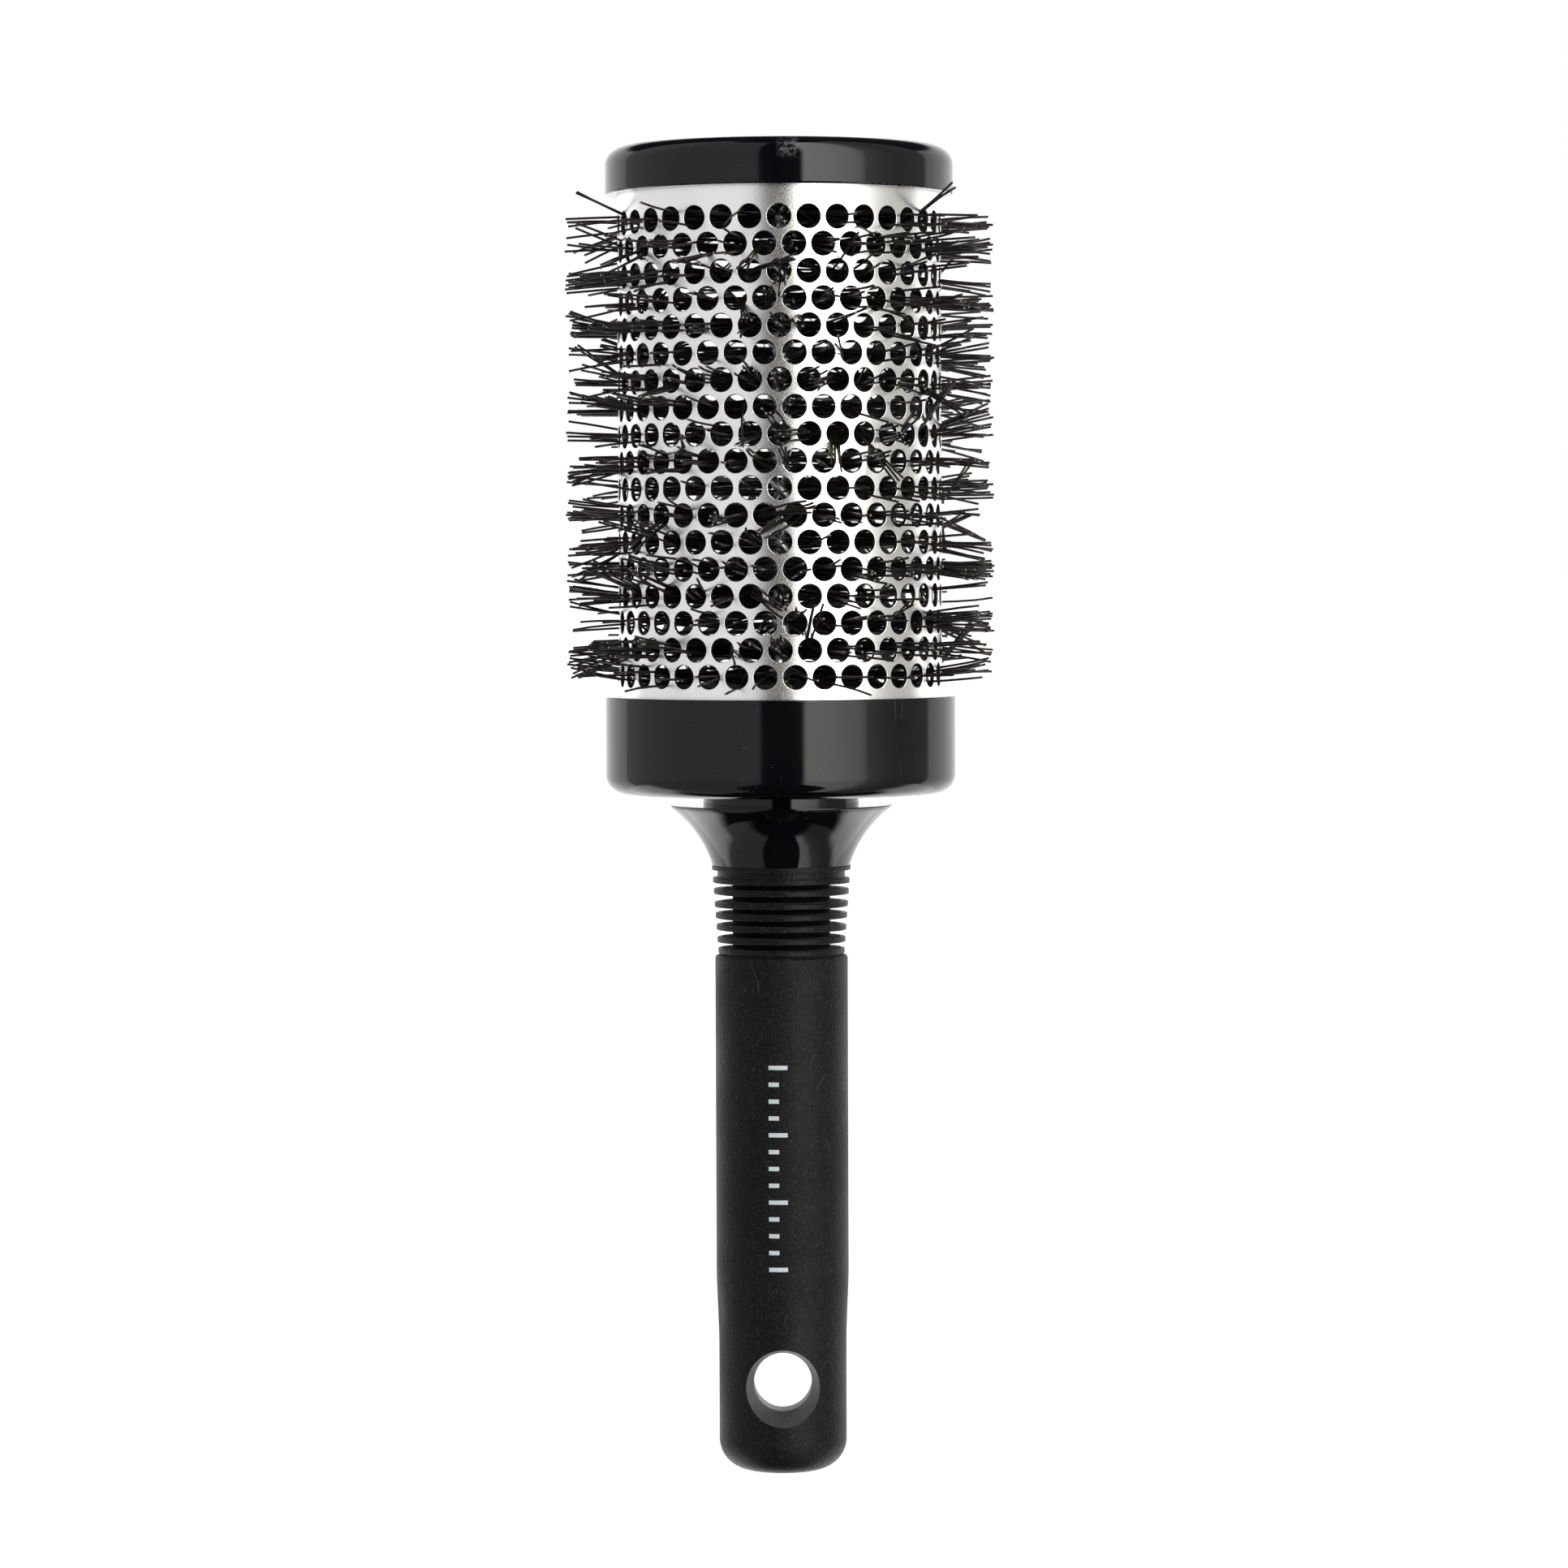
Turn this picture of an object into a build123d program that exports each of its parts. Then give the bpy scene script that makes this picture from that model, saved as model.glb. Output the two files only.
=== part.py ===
from build123d import *
import math
import os
import random

# Round barrel brush, in millimetres. +Z runs up the brush axis, from the handle to the tip cap.
# The origin is the centre of the hanging hole, and that hole runs along Y.

# Barrel: a perforated aluminium tube
BARREL_OD = 53.0
BARREL_WALL = 0.8
BARREL_BOTTOM = 100.6
BARREL_TOP = 200.4

# Perforation: rows of round holes, alternate rows staggered by half a pitch
ROWS = 18
HOLES_PER_ROW = 35
HOLE_D = 3.85
ROW_PITCH = 4.31
TOP_ROW_Z = 189.75

# Tip cap
CAP_OD = 57.0
CAP_BOTTOM = 194.8
CAP_TOP = 202.4
CAP_EDGE_R = 2.9
CAP_PLATE = 2.0
RIM_EDGE_R = 0.3

# Collar that holds the barrel's lower end
COLLAR_OD = 57.5
COLLAR_BOTTOM = 97.0
COLLAR_TOP = 112.9
COLLAR_EDGE_R = 3.1
COLLAR_FLOOR = 3.5

# Spigot rings inside the barrel's ends, in the cap and in the collar
SPIGOT_WALL = 2.0
CAP_SPIGOT_BOTTOM = 193.7
COLLAR_SPIGOT_TOP = 107.0

# Handle core: shoulder, flange, flared neck, tang and eye in one rigid moulding
FLANGE_R = 18.2
FLANGE_LIP = 94.9
FLANGE_TOP = 95.1
SHOULDER_R = 12.8
NECK_TOP_R = 17.75
NECK_MID_R = 13.95
NECK_BOTTOM_R = 11.35
NECK_TOP = 94.35
NECK_MID = 90.4
NECK_BOTTOM = 85.2
CORE_SPIGOT_R = 8.0
CORE_SPIGOT_TOP = 107.0
TANG_R = 7.0
TANG_BOTTOM = 17.0
EYE_OUTER_R = 9.2
EYE_INNER_R = 6.9
EYE_THICKNESS = 5.0

# Ribbed sleeve: thin rubber fins between the neck and the grip
RIBS = 8
RIB_TOP_R = 11.4
RIB_BOTTOM_R = 10.4
RIB_THICKNESS = 0.84
RIB_PITCH = 1.96
SLEEVE_R = 8.1
SLEEVE_COLLAR_R = 10.5
SLEEVE_BOTTOM = 70.6

# Grip
GRIP_R = 10.9
GRIP_END_R = 10.5
GRIP_TOP = 70.4
GRIP_EASE_TOP = 19.0
GRIP_EASE_BOTTOM = 6.0
GRIP_BOTTOM = -14.65
GRIP_CROWN = 0.5
GRIP_END_EDGE_R = 5.0
GRIP_LIP_R = 0.6

# Hanging hole: a straight land at mid-depth, widening to a mouth on each side
HANG_LAND_R = 4.75
HANG_LAND_LENGTH = 4.0
HANG_MOUTH_R = 6.1
HANG_MOUTH_AT = 9.0

# Twisted wire stem, two strands wound left-handed with the bristles nipped between them
WIRE_D = 1.6
STRAND_OFFSET = 1.26
TWIST_PITCH = 8.9
STEM_BOTTOM = 60.0
STEM_TOP = 198.0
STEM_BORE_R = 2.15
STEM_BORE_BOTTOM = 58.5
CAP_BOSS_R = 5.0
CAP_BOSS_BOTTOM = 193.0

# Bristles: nylon filaments that run from tip to tip through the stem
BRISTLE_D = 0.40
BRISTLE_TIP_R = 35.5
BRISTLE_TRIM = 0.5
LEVELS_PER_ROW = 10
PAIR_OFFSET = 0.22
SPLAY = 0.8
DROOP = 0.4

# Assembly clearance, on the radius, where one piece slides over another
FIT = 0.05

BARREL_R = BARREL_OD / 2
BARREL_INNER_R = BARREL_R - BARREL_WALL
HOLE_ANGLE = 360 / HOLES_PER_ROW


def turned(*curves):
    """The solid swept by a closed outline, drawn as radius and height, turning about Z."""
    return revolve(Plane.XZ * make_face(Curve() + list(curves)), Axis.Z)


def turned_polygon(*points):
    """A turned solid whose outline has straight sides."""
    return turned(Polyline(*points, close=True))


def ring(outer_r, inner_r, bottom, top):
    """A plain tube about Z."""
    return turned_polygon((inner_r, bottom), (outer_r, bottom), (outer_r, top), (inner_r, top))


def disc(radius, bottom, top):
    """A plain cylinder about Z."""
    return Pos(0, 0, bottom) * Cylinder(radius, top - bottom, align=(Align.CENTER, Align.CENTER, Align.MIN))


def edges_at(solid, radius, z):
    """The circular edges of a turned solid at one radius and height."""
    circles = solid.edges().filter_by(GeomType.CIRCLE)
    return [e for e in circles if abs(e.radius - radius) < 0.01 and abs(e.arc_center.Z - z) < 0.01]


def row_z(row):
    """Height of a row of holes, counted from 0 at the tip."""
    return TOP_ROW_Z - row * ROW_PITCH


def hole_azimuth(row, index):
    """Direction of a hole in degrees from +X. The top row has a hole facing -Y."""
    stagger = 0.5 * (row % 2)
    return -90 + (index + stagger) * HOLE_ANGLE


def barrel_tube():
    """The tube with its staggered holes drilled along the radius."""
    tube = ring(BARREL_R, BARREL_INNER_R, BARREL_BOTTOM, BARREL_TOP)
    drill = Rot(0, 90, 0) * Cylinder(HOLE_D / 2, 4 * BARREL_WALL)
    holes = []
    for row in range(ROWS):
        for index in range(HOLES_PER_ROW):
            turn = Rot(0, 0, hole_azimuth(row, index))
            holes.append(turn * Pos(BARREL_R - BARREL_WALL / 2, 0, row_z(row)) * drill)
    return tube - holes


def tip_cap():
    """The cap over the tip: a plate with an outer rim, a spigot ring and a boss for the stem."""
    plate_bottom = CAP_TOP - CAP_PLATE
    cap = disc(CAP_OD / 2, plate_bottom, CAP_TOP)
    cap += ring(CAP_OD / 2, BARREL_R + FIT, CAP_BOTTOM, CAP_TOP)
    spigot_r = BARREL_INNER_R - FIT
    cap += ring(spigot_r, spigot_r - SPIGOT_WALL, CAP_SPIGOT_BOTTOM, CAP_TOP)
    cap += ring(CAP_BOSS_R, STEM_BORE_R, CAP_BOSS_BOTTOM, CAP_TOP - CAP_PLATE)
    cap = fillet(edges_at(cap, CAP_OD / 2, CAP_TOP), CAP_EDGE_R)
    return fillet(edges_at(cap, CAP_OD / 2, CAP_BOTTOM), RIM_EDGE_R)


def barrel_collar():
    """The cup that holds the barrel's lower end, with a hole for the handle core's spigot."""
    floor_top = COLLAR_BOTTOM + COLLAR_FLOOR
    spigot_r = BARREL_INNER_R - FIT
    collar = ring(COLLAR_OD / 2, CORE_SPIGOT_R + FIT, COLLAR_BOTTOM, floor_top)
    collar += ring(COLLAR_OD / 2, BARREL_R + FIT, COLLAR_BOTTOM, COLLAR_TOP)
    collar += ring(spigot_r, spigot_r - SPIGOT_WALL, COLLAR_BOTTOM, COLLAR_SPIGOT_TOP)
    collar = fillet(edges_at(collar, COLLAR_OD / 2, COLLAR_BOTTOM), COLLAR_EDGE_R)
    return fillet(edges_at(collar, COLLAR_OD / 2, COLLAR_TOP), RIM_EDGE_R)


def tang(clearance):
    """The part of the core inside the rubber, grown by a clearance: a round bar that ends in an eye."""
    thick = EYE_THICKNESS + 2 * clearance
    bar = disc(TANG_R + clearance, TANG_BOTTOM - clearance, NECK_BOTTOM)
    link = Pos(0, 0, TANG_BOTTOM / 2) * Box(2 * TANG_R + 2 * clearance, thick, TANG_BOTTOM)
    eye = Rot(90, 0, 0) * Cylinder(EYE_OUTER_R + clearance, thick)
    opening = Rot(90, 0, 0) * Cylinder(EYE_INNER_R - clearance, thick)
    return bar + link + eye - opening


def handle_core():
    """The rigid moulding: spigot, shoulder, flange, flared neck and tang. The stem's bore is blind."""
    flare = ThreePointArc((NECK_BOTTOM_R, NECK_BOTTOM), (NECK_MID_R, NECK_MID), (NECK_TOP_R, NECK_TOP))
    outline = [
        Polyline((0, NECK_BOTTOM), (NECK_BOTTOM_R, NECK_BOTTOM)),
        flare,
        TangentArc((NECK_TOP_R, NECK_TOP), (FLANGE_R, FLANGE_LIP), tangent=flare % 1),
        Polyline(
            (FLANGE_R, FLANGE_LIP),
            (FLANGE_R, FLANGE_TOP),
            (SHOULDER_R, FLANGE_TOP),
            (SHOULDER_R, COLLAR_BOTTOM),
            (CORE_SPIGOT_R, COLLAR_BOTTOM),
            (CORE_SPIGOT_R, CORE_SPIGOT_TOP),
            (0, CORE_SPIGOT_TOP),
            (0, NECK_BOTTOM),
        ),
    ]
    core = turned(*outline)
    core += tang(0)
    return core - disc(STEM_BORE_R, STEM_BORE_BOTTOM, CORE_SPIGOT_TOP)


def ribbed_sleeve():
    """The finned rubber sleeve. The top two ribs share a thicker collar."""
    top_rib_z = NECK_BOTTOM - RIB_THICKNESS / 2
    sleeve = ring(SLEEVE_R, TANG_R + FIT, SLEEVE_BOTTOM, NECK_BOTTOM)
    sleeve += ring(SLEEVE_COLLAR_R, TANG_R + FIT, top_rib_z - RIB_PITCH, NECK_BOTTOM)
    for rib in range(RIBS):
        share = rib / (RIBS - 1)
        radius = RIB_TOP_R + share * (RIB_BOTTOM_R - RIB_TOP_R)
        middle = top_rib_z - rib * RIB_PITCH
        fin = ring(radius, TANG_R + FIT, middle - RIB_THICKNESS / 2, middle + RIB_THICKNESS / 2)
        sleeve += fin
    return sleeve


def hanging_hole():
    """The space of the hanging hole, along Y: a straight land, then a cone out through each side."""
    half_land = HANG_LAND_LENGTH / 2
    slope = (HANG_MOUTH_R - HANG_LAND_R) / (HANG_MOUTH_AT - half_land)
    reach = GRIP_R + 1
    reach_r = HANG_LAND_R + slope * (reach - half_land)
    side = [(HANG_LAND_R, half_land), (reach_r, reach)]
    far_side = [(radius, -height) for radius, height in reversed(side)]
    space = turned_polygon((0, -reach), *far_side, *side, (0, reach))
    return Rot(90, 0, 0) * space


def grip_sleeve():
    """The rubber grip: a long round sleeve with a rounded end, the hanging hole and the tang's pocket."""
    corner_z = GRIP_BOTTOM + GRIP_CROWN
    outline = [
        ThreePointArc(
            (0, GRIP_BOTTOM),
            (GRIP_END_R / 2, GRIP_BOTTOM + GRIP_CROWN / 4),
            (GRIP_END_R, corner_z),
        ),
        Line((GRIP_END_R, corner_z), (GRIP_END_R, GRIP_EASE_BOTTOM)),
        Spline(
            (GRIP_END_R, GRIP_EASE_BOTTOM),
            (GRIP_R, GRIP_EASE_TOP),
            tangents=[(0, 1), (0, 1)],
        ),
        Polyline((GRIP_R, GRIP_EASE_TOP), (GRIP_R, GRIP_TOP), (0, GRIP_TOP), (0, GRIP_BOTTOM)),
    ]
    grip = turned(*outline)
    grip = fillet(edges_at(grip, GRIP_END_R, corner_z), GRIP_END_EDGE_R)
    grip = fillet(edges_at(grip, GRIP_R, GRIP_TOP), GRIP_LIP_R)
    grip -= tang(FIT)
    return grip - hanging_hole()


def twist(z):
    """Direction of the bristles at a height on the stem, in degrees from +X."""
    return -360 * z / TWIST_PITCH


def wire_strand(side):
    """One strand of the stem: a left-handed helix, 90 degrees to one side of the bristles."""
    path = Helix(TWIST_PITCH, STEM_TOP - STEM_BOTTOM, STRAND_OFFSET, lefthand=True)
    section = Plane(origin=path @ 0, z_dir=path % 0) * Circle(WIRE_D / 2)
    strand = sweep(section, path=path, is_frenet=True)
    return Pos(0, 0, STEM_BOTTOM) * Rot(0, 0, twist(STEM_BOTTOM) + 90 * side) * strand


def around(radius, azimuth, sideways, z):
    """A point at a radius and direction, moved sideways, at a height."""
    a = math.radians(azimuth)
    x = radius * math.cos(a) - sideways * math.sin(a)
    y = radius * math.sin(a) + sideways * math.cos(a)
    return Vector(x, y, z)


def filament(tip_a, middle, tip_b):
    """One bristle filament, bowed in a single arc from tip to tip through the stem."""
    path = ThreePointArc(tip_a, middle, tip_b)
    section = Plane(origin=path @ 0, z_dir=path % 0) * Circle(BRISTLE_D / 2)
    return sweep(section, path=path)


def bristle_row(row):
    """The filaments that leave through one row of holes, in pairs that fan round with the twist."""
    draw = random.Random(row)
    level_step = ROW_PITCH / LEVELS_PER_ROW
    filaments = []
    for level in range(LEVELS_PER_ROW):
        middle_z = row_z(row) + (level - (LEVELS_PER_ROW - 1) / 2) * level_step
        direction = twist(middle_z)
        first = round((direction - hole_azimuth(row, 0)) / HOLE_ANGLE)
        azimuth_a = hole_azimuth(row, first)
        half_turn = round((direction + 180 - azimuth_a) / HOLE_ANGLE)
        azimuth_b = hole_azimuth(row, first + half_turn)
        across = (azimuth_a + azimuth_b - 180) / 2
        for side in (-1, 1):
            splay = side * (PAIR_OFFSET + draw.uniform(0, SPLAY))
            tip_z = row_z(row) + draw.uniform(-DROOP, DROOP)
            tip_a = around(BRISTLE_TIP_R - draw.uniform(0, BRISTLE_TRIM), azimuth_a, splay, tip_z)
            tip_b = around(BRISTLE_TIP_R - draw.uniform(0, BRISTLE_TRIM), azimuth_b, -splay, tip_z)
            middle = around(0, across, side * PAIR_OFFSET, middle_z)
            filaments.append(filament(tip_a, middle, tip_b))
    return Compound(children=filaments)


def write(node, shape):
    """Writes one named node."""
    export_step(shape, f"parts/{node}.step")


os.makedirs("parts", exist_ok=True)
write("tip_cap", tip_cap())
write("barrel_tube", barrel_tube())
write("barrel_collar", barrel_collar())
write("handle_core", handle_core())
write("ribbed_sleeve", ribbed_sleeve())
write("grip_sleeve", grip_sleeve())
write("wire_strand_a", wire_strand(1))
write("wire_strand_b", wire_strand(-1))
for row in range(ROWS):
    write(f"bristle_row_{row + 1:02d}", bristle_row(row))
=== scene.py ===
import math
import random

import bpy
from mathutils import Matrix, Vector


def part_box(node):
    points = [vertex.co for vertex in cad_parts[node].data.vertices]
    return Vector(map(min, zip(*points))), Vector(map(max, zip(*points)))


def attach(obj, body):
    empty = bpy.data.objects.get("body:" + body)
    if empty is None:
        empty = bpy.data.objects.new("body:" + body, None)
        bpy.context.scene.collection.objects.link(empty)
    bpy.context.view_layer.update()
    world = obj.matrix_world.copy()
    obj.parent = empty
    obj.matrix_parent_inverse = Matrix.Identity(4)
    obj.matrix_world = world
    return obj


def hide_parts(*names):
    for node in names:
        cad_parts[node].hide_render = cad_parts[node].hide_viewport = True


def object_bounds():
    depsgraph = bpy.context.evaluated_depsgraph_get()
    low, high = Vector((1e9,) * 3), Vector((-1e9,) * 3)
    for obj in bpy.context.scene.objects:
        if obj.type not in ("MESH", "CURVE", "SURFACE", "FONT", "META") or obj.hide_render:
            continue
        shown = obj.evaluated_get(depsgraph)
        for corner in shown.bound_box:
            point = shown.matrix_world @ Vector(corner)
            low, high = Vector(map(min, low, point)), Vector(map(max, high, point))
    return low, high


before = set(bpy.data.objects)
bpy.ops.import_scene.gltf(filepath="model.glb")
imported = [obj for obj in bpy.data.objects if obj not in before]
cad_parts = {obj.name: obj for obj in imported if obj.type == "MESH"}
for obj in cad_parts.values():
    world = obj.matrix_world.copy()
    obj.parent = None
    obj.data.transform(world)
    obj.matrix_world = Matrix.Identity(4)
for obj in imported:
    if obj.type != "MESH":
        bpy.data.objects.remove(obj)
CAD_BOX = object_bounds()

# Everything is in metres, in the CAD frame: +Z up the brush axis, origin at the hanging hole's centre.
MM = 0.001

# Barrel: a tube with rows of round holes, alternate rows staggered by half a pitch
BARREL_R = 26.5 * MM
BARREL_WALL = 0.8 * MM
ROWS = 18
HOLES_PER_ROW = 35
HOLE_R = 1.925 * MM
ROW_PITCH = 4.31 * MM
TOP_ROW_Z = 189.75 * MM
HOLE_BEVEL = 0.13 * MM
SIDE_STEPS = 6
RING_STEPS = 4 * SIDE_STEPS

# Bristles: black nylon, nipped in the twisted stem. A filament leaves the stem at STEM_CLEAR_R and curves
# over SWEEP at each end of its way to the hole, and a lean of 45 degrees moves it LEAN_TO_EDGE in the hole
BRISTLE_R = 0.195 * MM
BRISTLE_LENGTH = 35.2 * MM
BRISTLE_SIDES = 6
STEM_CLEAR_R = 1.1 * MM
SWEEP = 9 * MM
LEAN_TO_EDGE = 3.2 * MM

# Filaments in a hole: their mean number, how far it swings, and by how many radians from row to row
CLUMP_SIZE = 2.5
CLUMP_SWING = 1.6
SWING_PER_ROW = 2.6

# Filaments in each row that miss the holes, and the heights that they stay between
TRAPPED_ENDS = 6
TRAPPED_LOW = 109 * MM
TRAPPED_HIGH = 192.3 * MM

# Ribbed sleeve
SLEEVE_TOP = 85.2 * MM
SLEEVE_BOTTOM = 70.6 * MM
SLEEVE_R = 8.0 * MM
SLEEVE_COLLAR_R = 10.5 * MM
SLEEVE_INNER_R = 7.3 * MM
RIBS = 8
RIB_TOP_R = 11.4 * MM
RIB_BOTTOM_R = 10.4 * MM
RIB_THICKNESS = 0.84 * MM
RIB_PITCH = 1.96 * MM
RIB_EDGE_R = 0.12 * MM
RIB_WAVE = 0.07 * MM
RIB_SWAY = 0.05 * MM
RIB_STEPS = 128
# Nearer to the axis than this, between the ribs, the rubber is darkened: painted shade
VALLEY_SHADE_R = 9.8 * MM

# Grip, with the narrow land in the middle of its hanging hole, where a pool of light is painted, and the
# ticks printed on it
GRIP_R = 10.9 * MM
PAINTED_LIGHT_LAND_R = 4.84 * MM
TICKS = 13
TICKS_PER_LONG_TICK = 4
TICKS_TOP = 53.0 * MM
TICKS_LEFT = -2.2 * MM
TICK_PITCH = 2.75 * MM
TICK_HEIGHT = 0.7 * MM
TICK_LENGTH = 1.7 * MM
LONG_TICK_LENGTH = 3.1 * MM
INK_PROUD = 0.012 * MM
INK_THICKNESS = 0.02 * MM
INK_STEPS = 6

# Cap, with a small scuff on the front of its edge
CAP_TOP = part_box("tip_cap")[1].z
SCUFF_AT = Vector((1.6 * MM, -28 * MM, CAP_TOP - 1.8 * MM))

# Camera
CAMERA_AT = Vector((0.5 * MM, -880 * MM, 135.5 * MM))
LOOK_AT = Vector((0.5 * MM, 0, 98.4 * MM))
CAMERA_ROLL = math.radians(-0.2)
CAMERA_LENS = 123.1

# Studio: brightness is 1 for plain white, and directions are in degrees from the camera's side
FLOOR_DROP = 0.4 * MM
FLOOR_R = 30.0
BRIGHTEST = 5.0
PANEL = [(-180, 0), (-123, 0), (-121, 0.9), (-60, 0.93), (-13.7, 1.0), (-12.3, 0.02), (180, 0.02)]
KEY = [
    (-180, 0), (14.6, 0), (16.0, 5.0), (32, 4.6), (52, 3.4), (57, 2.5), (59, 1.3), (72, 0.75), (84, 0.5),
    (111, 0.45), (113, 0), (180, 0),
]
SURROUND = [(-180, 1.6), (-122.5, 1.6), (-121.5, 0), (112, 0), (113, 1.6), (180, 1.6)]
SIDE_LIGHT = 3.2
FILL = 0.03
KEY_TINT = (1.01, 1.0, 0.95)
STUDIO_STRENGTH = 0.8


class Look:
    """A procedural material under construction: a Principled shader and the nodes that feed it."""

    def __init__(self, name):
        self.material = bpy.data.materials.new(name)
        self.material.use_nodes = True
        self.tree = self.material.node_tree
        self.tree.nodes.clear()
        output = self.tree.nodes.new("ShaderNodeOutputMaterial")
        self.shader = self.tree.nodes.new("ShaderNodeBsdfPrincipled")
        self.tree.links.new(self.shader.outputs["BSDF"], output.inputs["Surface"])
        self.place = self.tree.nodes.new("ShaderNodeTexCoord").outputs["Object"]

    def set(self, **values):
        for name, value in values.items():
            self.shader.inputs[name.replace("_", " ")].default_value = value

    def feed(self, name, source):
        self.tree.links.new(source, self.shader.inputs[name])

    def near(self, axis, middle, reach, fade):
        """1 within reach of a middle along one axis, falling to 0 over the fade."""
        split = self.tree.nodes.new("ShaderNodeSeparateXYZ")
        self.tree.links.new(self.place, split.inputs[0])
        away = self.math("ABSOLUTE", self.math("SUBTRACT", split.outputs[axis], middle))
        return self.levels(away, reach, reach + fade, 1, 0)

    def vector(self, operation, a, b, result="Vector"):
        node = self.tree.nodes.new("ShaderNodeVectorMath")
        node.operation = operation
        for socket, value in zip(node.inputs, (a, b)):
            if isinstance(value, tuple):
                socket.default_value = value
            else:
                self.tree.links.new(value, socket)
        return node.outputs[result]

    def facing_up(self):
        """How far the surface faces straight up, from -1 to 1."""
        normal = self.tree.nodes.new("ShaderNodeNewGeometry").outputs["Normal"]
        return self.vector("DOT_PRODUCT", normal, (0, 0, 1), "Value")

    def facing_bore(self):
        """1 where the surface faces the hanging hole's own axis, which is the Y axis."""
        normal = self.tree.nodes.new("ShaderNodeNewGeometry").outputs["True Normal"]
        across = self.vector("MULTIPLY", self.place, (1, 0, 1))
        return self.math("LESS_THAN", self.vector("DOT_PRODUCT", across, normal, "Value"), -1 * MM)

    def nearer(self, radius, across):
        """1 nearer than a radius to an axis; across is 1 along the two axes at right angles to it."""
        flat = self.vector("MULTIPLY", self.place, across)
        return self.math("LESS_THAN", self.vector("DISTANCE", flat, (0, 0, 0), "Value"), radius)

    def stretched(self, scale):
        """Object coordinates scaled by a different number along each axis."""
        node = self.tree.nodes.new("ShaderNodeMapping")
        node.inputs["Scale"].default_value = scale
        self.tree.links.new(self.place, node.inputs["Vector"])
        return node.outputs["Vector"]

    def noise(self, scale, detail=2.0, rough=0.5, place=None):
        node = self.tree.nodes.new("ShaderNodeTexNoise")
        node.inputs["Scale"].default_value = scale
        node.inputs["Detail"].default_value = detail
        node.inputs["Roughness"].default_value = rough
        self.tree.links.new(place or self.place, node.inputs["Vector"])
        return node.outputs["Fac"]

    def specks(self, scale, size, share):
        """Scattered dots: 1 inside a dot, 0 outside. Share is how many of the cells hold one."""
        cells = self.tree.nodes.new("ShaderNodeTexVoronoi")
        cells.inputs["Scale"].default_value = scale
        self.tree.links.new(self.place, cells.inputs["Vector"])
        near = self.math("LESS_THAN", cells.outputs["Distance"], size)
        split = self.tree.nodes.new("ShaderNodeSeparateColor")
        self.tree.links.new(cells.outputs["Color"], split.inputs["Color"])
        chosen = self.math("LESS_THAN", split.outputs["Red"], share)
        return self.math("MULTIPLY", near, chosen)

    def hairlines(self, scale, width):
        """Thin wandering lines along the level sets of a stretched noise."""
        field = self.noise(1.0, 0.0, 0.5, self.stretched(scale))
        offset = self.math("ABSOLUTE", self.math("SUBTRACT", field, 0.5))
        return self.math("LESS_THAN", offset, width)

    def math(self, operation, a, b=0.0):
        node = self.tree.nodes.new("ShaderNodeMath")
        node.operation = operation
        for socket, value in zip(node.inputs, (a, b)):
            if isinstance(value, (int, float)):
                socket.default_value = value
            else:
                self.tree.links.new(value, socket)
        return node.outputs["Value"]

    def levels(self, source, low, high, to_low, to_high):
        """Maps low..high to to_low..to_high, clamped."""
        node = self.tree.nodes.new("ShaderNodeMapRange")
        node.inputs["From Min"].default_value = low
        node.inputs["From Max"].default_value = high
        node.inputs["To Min"].default_value = to_low
        node.inputs["To Max"].default_value = to_high
        self.tree.links.new(source, node.inputs["Value"])
        return node.outputs["Result"]

    def mix(self, factor, a, b):
        """A colour between a and b."""
        node = self.tree.nodes.new("ShaderNodeMix")
        node.data_type = "RGBA"
        for socket, value in ((node.inputs[0], factor), (node.inputs[6], a), (node.inputs[7], b)):
            if isinstance(value, (int, float)):
                socket.default_value = value
            elif isinstance(value, tuple):
                socket.default_value = (*value, 1.0)
            else:
                self.tree.links.new(value, socket)
        return node.outputs[2]

    def bump(self, height, strength, distance, over=None):
        node = self.tree.nodes.new("ShaderNodeBump")
        node.inputs["Strength"].default_value = strength
        node.inputs["Distance"].default_value = distance
        self.tree.links.new(height, node.inputs["Height"])
        if over:
            self.tree.links.new(over, node.inputs["Normal"])
        return node.outputs["Normal"]


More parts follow.
